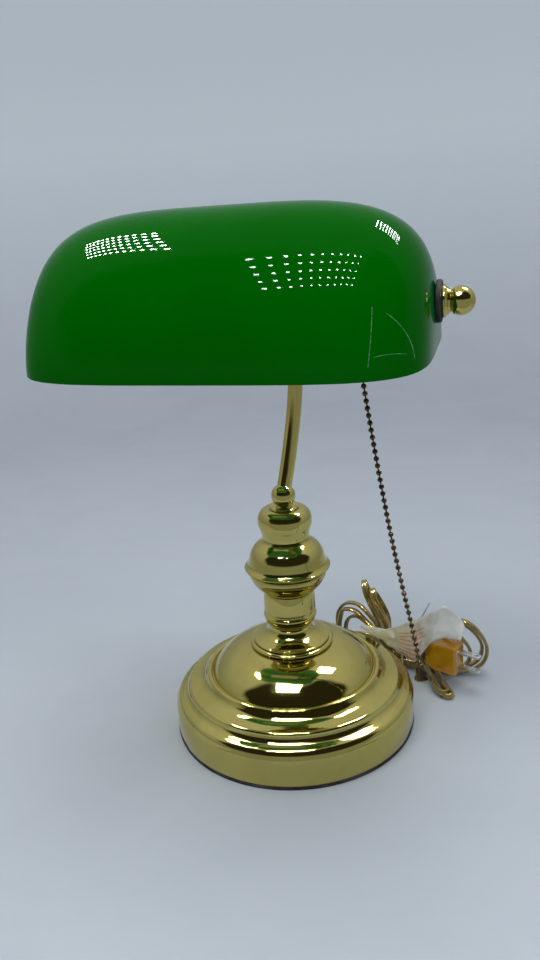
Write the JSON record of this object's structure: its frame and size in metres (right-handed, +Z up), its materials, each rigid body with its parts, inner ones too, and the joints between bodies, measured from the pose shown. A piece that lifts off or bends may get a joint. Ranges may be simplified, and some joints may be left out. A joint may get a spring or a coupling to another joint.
{
  "type": "banker desk lamp",
  "caption": "Desk lamp with a stepped round brass base, turned stem, crook arm and a long tilting green glass shade, switched by a pull chain, with its cord tied in a hank.",
  "frame": {"origin": "centre of the base's underside, on the table", "axes": "+Z up along the stem, +X along the shade towards its right-hand finial, +Y to the back, where the cord leaves the base"},
  "size_m": [0.2973, 0.2409, 0.3724],
  "materials": {
    "polished_brass": "polished and lacquered",
    "aged_brass": "plain stamped brass, unpolished inside",
    "dark_bronze": "dark bronze wash",
    "zinc_steel": "zinc plated",
    "cast_iron": "rough casting",
    "aluminium": "rolled screw shell",
    "black_rubber": "moulded, satin",
    "green_glass": "green glass cased over white, polished",
    "bulb_glass": "frosted inside",
    "phenolic": "moulded phenolic",
    "liner_board": "pressed fibre",
    "felt": "felt",
    "gold_cord": "clear gold flexible insulation",
    "amber_plug": "amber translucent moulding",
    "paper": "blank paper tag"
  },
  "bodies": {
    "stand": {"base_shell": "polished_brass", "base_rim_ring": "black_rubber", "base_pad": "felt", "base_weight": "cast_iron", "threaded_pipe": "zinc_steel", "bottom_nut": "zinc_steel", "top_nut": "zinc_steel", "cord_bushing": "phenolic", "base_collar": "polished_brass", "stem_neck": "polished_brass", "stem_cup": "polished_brass", "vase_lower": "polished_brass", "vase_upper": "polished_brass", "stem_cap": "polished_brass", "ball_flange": "polished_brass", "ball_coupling": "polished_brass", "arm_tube": "polished_brass", "arm_knuckle": "polished_brass", "inner_lead": "gold_cord", "cord_tail": "gold_cord", "cord_hank": "gold_cord", "cord_arch": "gold_cord", "cord_bights": "gold_cord", "cord_low_bight": "gold_cord", "cord_loops": "gold_cord", "plug_body": "amber_plug", "plug_blade_upper": "zinc_steel", "plug_blade_lower": "zinc_steel", "twist_tie": "zinc_steel", "cord_tag": "paper"},
    "bail": {"shade_bail": "aged_brass", "swivel_nut": "aged_brass", "pivot_stud_left": "zinc_steel", "pivot_stud_right": "zinc_steel", "jam_nut_left": "aged_brass", "jam_nut_right": "aged_brass", "socket_strap": "zinc_steel", "strap_rivet": "zinc_steel", "socket_nipple": "zinc_steel", "socket_cap": "aged_brass", "socket_shell": "aged_brass", "socket_liner": "liner_board", "socket_core": "phenolic", "screw_shell": "aluminium", "chain_guide": "aged_brass", "bulb_cap": "aluminium", "bulb_glass": "bulb_glass"},
    "shade": {"glass_shade": "green_glass", "inner_washer_left": "black_rubber", "inner_washer_right": "black_rubber", "outer_washer_left": "black_rubber", "outer_washer_right": "black_rubber", "finial_collar_left": "polished_brass", "finial_collar_right": "polished_brass"},
    "left_knob": {"finial_cap_left": "polished_brass"},
    "right_knob": {"finial_ball_right": "polished_brass"},
    "lever": {"switch_lever": "aged_brass"},
    "pull": {"pull_link": "aged_brass"},
    "chain": {"pull_chain": "dark_bronze", "chain_bell": "dark_bronze"}
  },
  "joints": [
    {"name": "shade_swivel", "type": "hinge", "parent": "stand", "child": "bail", "pos_m": [-0.0143, -0.0382, 0.3345], "axis": [0, 0, 1], "range_deg": [-5, 15]},
    {"name": "shade_tilt", "type": "hinge", "parent": "bail", "child": "shade", "pos_m": [-0.0143, -0.0382, 0.3119], "axis": [1, 0, 0], "range_deg": [-3, 20]},
    {"name": "left_knob_turn", "type": "hinge", "parent": "shade", "child": "left_knob", "pos_m": [-0.1534, -0.0382, 0.3119], "axis": [-1, 0, 0], "continuous": true},
    {"name": "right_knob_turn", "type": "hinge", "parent": "shade", "child": "right_knob", "pos_m": [0.1248, -0.0382, 0.3119], "axis": [1, 0, 0], "continuous": true},
    {"name": "chain_pull", "type": "slide", "parent": "bail", "child": "pull", "axis": [0, 0, -1], "range_m": [0, 0.006], "stiffness_N_per_m": 150},
    {"name": "chain_swing", "type": "hinge", "parent": "pull", "child": "chain", "pos_m": [0.0646, -0.0382, 0.277], "axis": [0, 1, 0], "range_deg": [-15, 13]},
    {"name": "lever_turn", "type": "hinge", "parent": "bail", "child": "lever", "pos_m": [0.0678, -0.0382, 0.301], "axis": [0, 1, 0], "range_deg": [-70, 5]}
  ],
  "couplings": [
    {"joint": "lever_turn", "follows": "chain_pull", "rad_per_m": -170}
  ]
}
